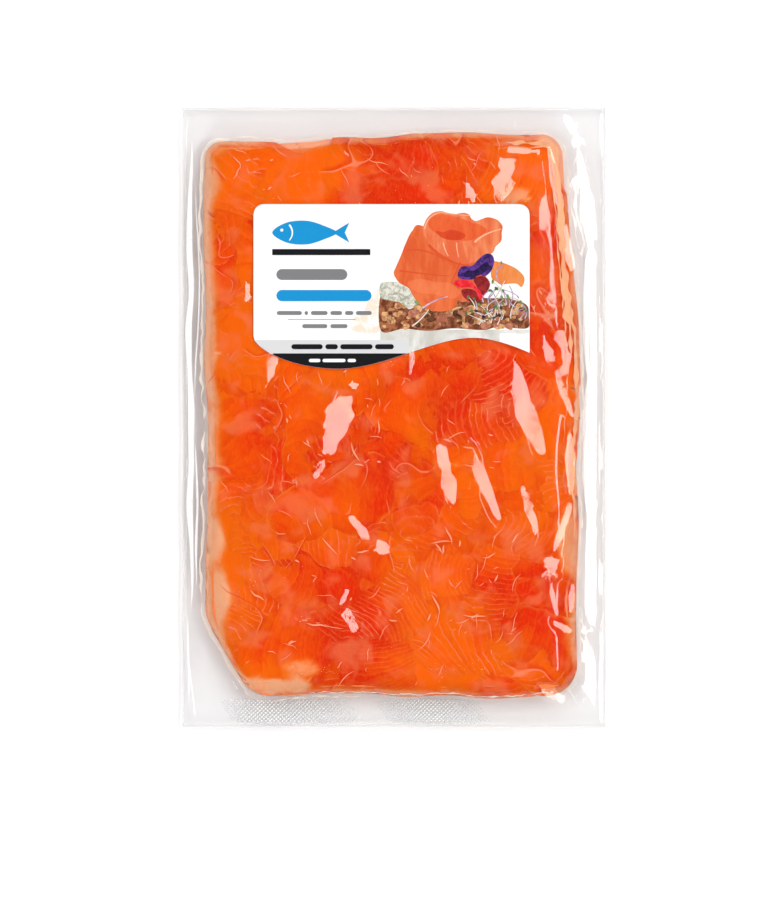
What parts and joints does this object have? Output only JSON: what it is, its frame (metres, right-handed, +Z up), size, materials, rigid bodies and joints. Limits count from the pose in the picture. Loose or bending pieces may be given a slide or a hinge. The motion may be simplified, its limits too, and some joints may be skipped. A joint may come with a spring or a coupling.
{
  "type": "vacuum pack of smoked salmon",
  "caption": "Flat vacuum pouch of clear film drawn tight round a slab of smoked salmon slices, with a sealed margin all round and a printed label with a wavy lower edge on its face.",
  "frame": {"origin": "middle of the pouch's outline, on the surface that the pack lies on", "axes": "+Z up out of the face with the label, +Y towards the pack's top edge as the label reads, +X to the right of the label"},
  "size_m": [0.205, 0.3, 0.0204],
  "materials": {
    "salmon": "wet smoked salmon flesh under tight clear film",
    "film": "clear glossy vacuum film",
    "label": "satin white printed sticker"
  },
  "bodies": {
    "root": {"pouch": "salmon", "label": "label"}
  },
  "joints": []
}
